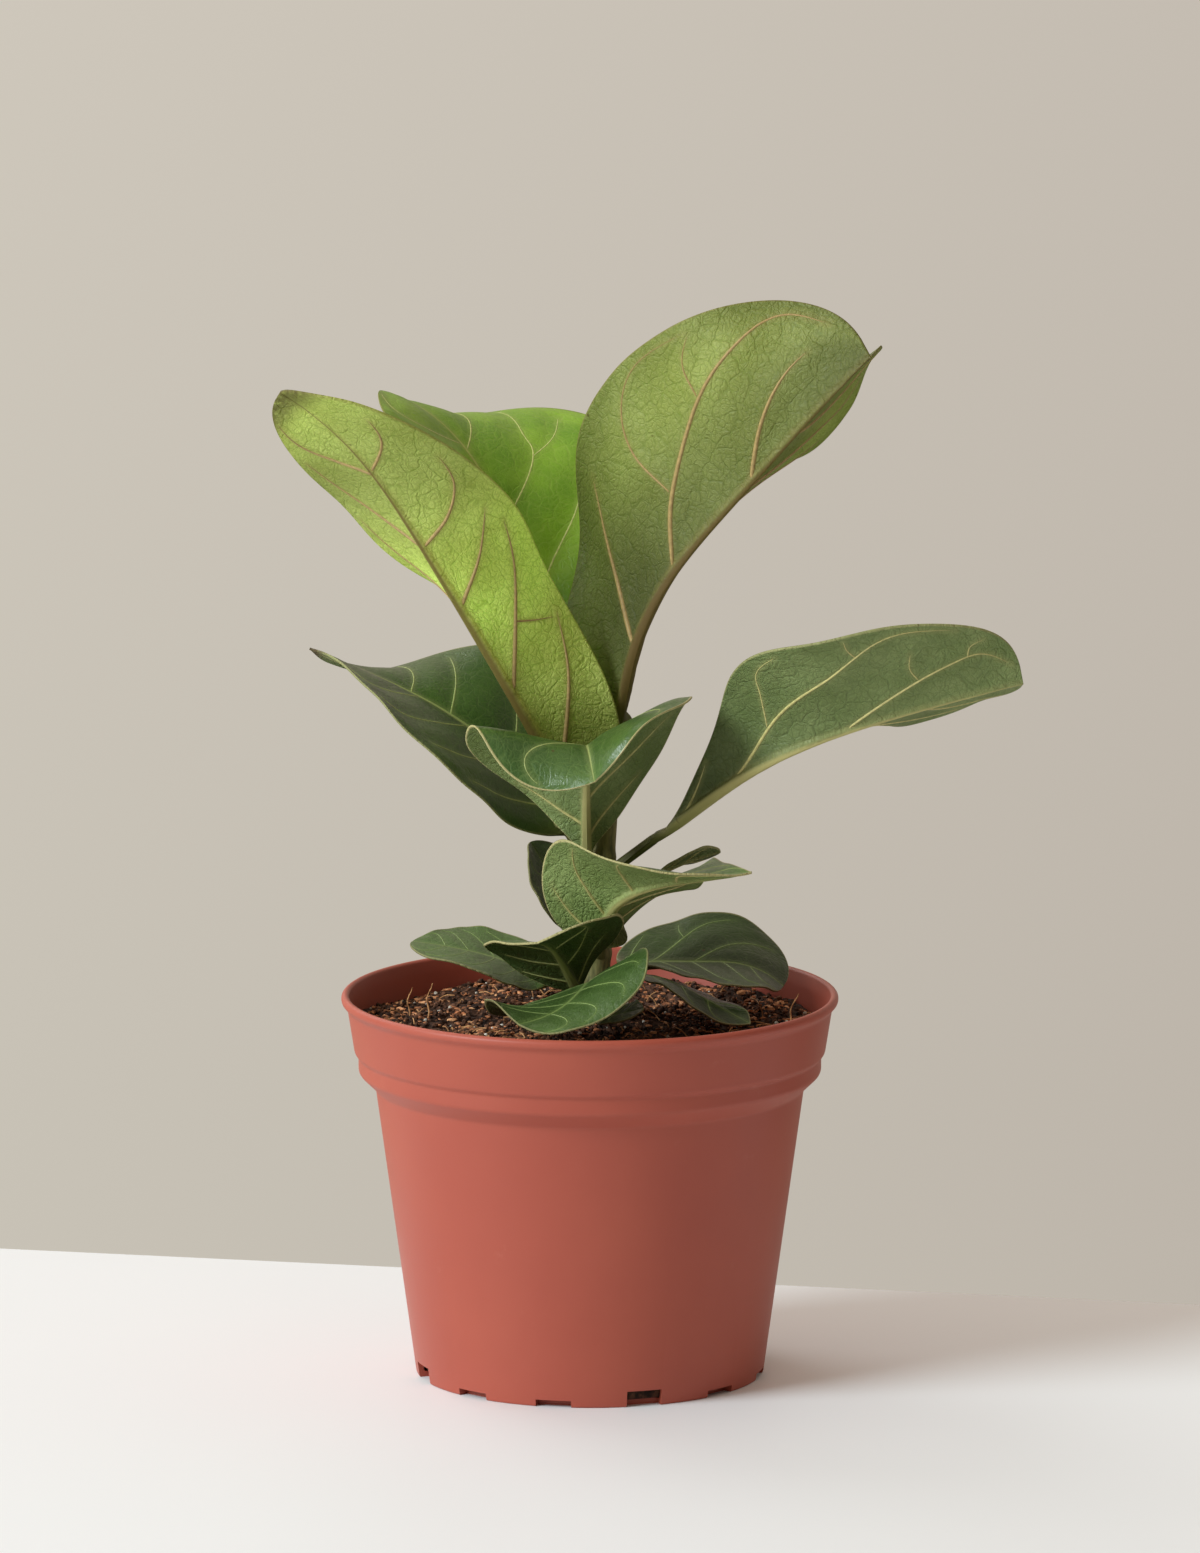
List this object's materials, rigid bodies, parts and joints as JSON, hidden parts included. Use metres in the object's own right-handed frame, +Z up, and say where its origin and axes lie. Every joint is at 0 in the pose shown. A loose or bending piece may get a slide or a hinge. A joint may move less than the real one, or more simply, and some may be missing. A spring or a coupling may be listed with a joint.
{
  "type": "potted fiddle leaf fig",
  "caption": "Young fiddle leaf fig with broad leathery leaves, growing in potting mix in a round terracotta-coloured plastic nursery pot.",
  "frame": {"origin": "middle of the pot's flat base, on the surface that the pot stands on", "axes": "+Z up along the pot's axis, -Y towards the front, +X to the right when seen from the front"},
  "size_m": [0.226, 0.1596, 0.3343],
  "materials": {
    "pot_plastic": "smooth moulded terracotta-coloured plastic with a soft sheen",
    "potting_mix": "loose crumbs of dark peat and bark with pale grit",
    "stem_bark": "green-brown young bark with leaf scars",
    "bud_sheath": "papery pointed sheath",
    "young_leaf": "bright yellow-green waxy blade with raised pale veins",
    "grown_leaf": "mid green waxy blade with raised pale veins",
    "low_leaf": "dark green waxy blade with raised pale veins",
    "dry_straw": "dry fibre"
  },
  "bodies": {
    "root": {"pot": "pot_plastic", "potting_mix": "potting_mix", "stem": "stem_bark", "terminal_bud": "bud_sheath", "leaf_upper_right": "young_leaf", "leaf_upper_left": "young_leaf", "leaf_upper_back": "young_leaf", "leaf_middle_left": "grown_leaf", "leaf_middle_front": "grown_leaf", "leaf_middle_right": "grown_leaf", "leaf_lower_front": "grown_leaf", "leaf_small_right": "grown_leaf", "leaf_small_back": "low_leaf", "leaf_low_right": "low_leaf", "leaf_low_left": "low_leaf", "leaf_low_front": "low_leaf", "leaf_rim_front": "low_leaf", "leaf_lowest_front": "low_leaf", "leaf_low_drooping": "low_leaf", "straw_left": "dry_straw", "straw_left_inner": "dry_straw", "straw_right": "dry_straw"}
  },
  "joints": []
}
